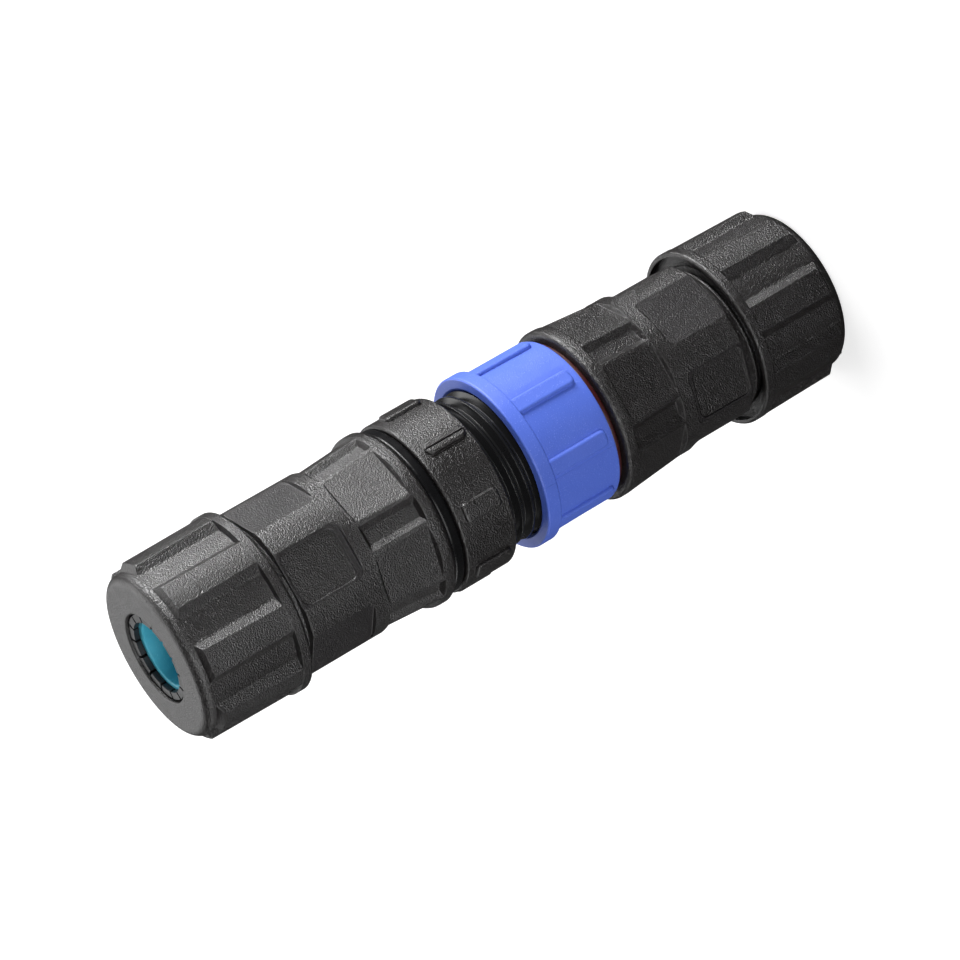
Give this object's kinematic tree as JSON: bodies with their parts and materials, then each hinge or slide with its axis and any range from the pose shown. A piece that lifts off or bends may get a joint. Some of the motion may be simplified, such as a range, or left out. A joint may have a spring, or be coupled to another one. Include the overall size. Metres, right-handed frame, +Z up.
{
  "type": "waterproof cable connector",
  "caption": "Waterproof inline cable connector: two barrel halves with clamp nuts, coupled by a blue threaded nut, standing on one end.",
  "frame": {"origin": "centre of the flat end face of the plug's cable nut, on which the connector stands", "axes": "+Z up along the connector's axis, towards the receptacle half; +X towards the light side of the picture; the label panels face between +X and -Y"},
  "size_m": [0.03, 0.03, 0.1223],
  "materials": {
    "nut_black": "moulded grain",
    "shell_black": "spark-eroded grain",
    "claw_black": "satin",
    "body_black": "grained collar, glossy thread",
    "carrier_black": "satin",
    "seal_teal": "satin silicone",
    "gasket_black": "glossy rubber",
    "ring_red": "satin silicone",
    "nut_blue": "fine moulded grain",
    "contact_brass": "turned",
    "screw_steel": "plated"
  },
  "bodies": {
    "plug_half": {"plug_rear_shell": "shell_black", "plug_front_body": "body_black", "plug_shell_gasket": "ring_red", "plug_contact_insert": "carrier_black", "plug_terminal_screws": "screw_steel", "interface_seal": "gasket_black", "plug_pin_contact_1": "contact_brass", "plug_pin_contact_2": "contact_brass", "plug_pin_contact_3": "contact_brass"},
    "coupling": {"coupling_nut": "nut_blue"},
    "receptacle_half": {"receptacle_rear_shell": "shell_black", "receptacle_front_body": "body_black", "receptacle_shell_gasket": "gasket_black", "receptacle_contact_insert": "carrier_black", "receptacle_terminal_screws": "screw_steel", "receptacle_socket_contact_1": "contact_brass", "receptacle_socket_contact_2": "contact_brass", "receptacle_socket_contact_3": "contact_brass"},
    "plug_clamp": {"plug_clamp_claw": "claw_black", "plug_cable_seal": "seal_teal"},
    "plug_nut": {"plug_cable_nut": "nut_black"},
    "receptacle_clamp": {"receptacle_clamp_claw": "claw_black", "receptacle_cable_seal": "seal_teal"},
    "receptacle_nut": {"receptacle_cable_nut": "nut_black"}
  },
  "joints": [
    {"name": "coupling_turn", "type": "hinge", "parent": "plug_half", "child": "coupling", "pos_m": [0, 0, 0.053], "axis": [0, 0, -1], "range_deg": [-990, 2160]},
    {"name": "receptacle_travel", "type": "slide", "parent": "plug_half", "child": "receptacle_half", "axis": [0, 0, 1], "range_m": [-0.0056, 0.0121]},
    {"name": "plug_clamp_travel", "type": "slide", "parent": "plug_half", "child": "plug_clamp", "axis": [0, 0, -1], "range_m": [0, 0.0071]},
    {"name": "plug_nut_turn", "type": "hinge", "parent": "plug_clamp", "child": "plug_nut", "pos_m": [0, 0, 0.009], "axis": [0, 0, -1], "range_deg": [0, 1260]},
    {"name": "receptacle_clamp_travel", "type": "slide", "parent": "receptacle_half", "child": "receptacle_clamp", "axis": [0, 0, 1], "range_m": [0, 0.0071]},
    {"name": "receptacle_nut_turn", "type": "hinge", "parent": "receptacle_clamp", "child": "receptacle_nut", "pos_m": [0, 0, 0.1133], "axis": [0, 0, 1], "range_deg": [0, 1260]}
  ],
  "couplings": [
    {"joint": "receptacle_travel", "follows": "coupling_turn", "m_per_rad": 0.00031831},
    {"joint": "plug_clamp_travel", "follows": "plug_nut_turn", "m_per_rad": 0.00031831},
    {"joint": "receptacle_clamp_travel", "follows": "receptacle_nut_turn", "m_per_rad": 0.00031831}
  ]
}
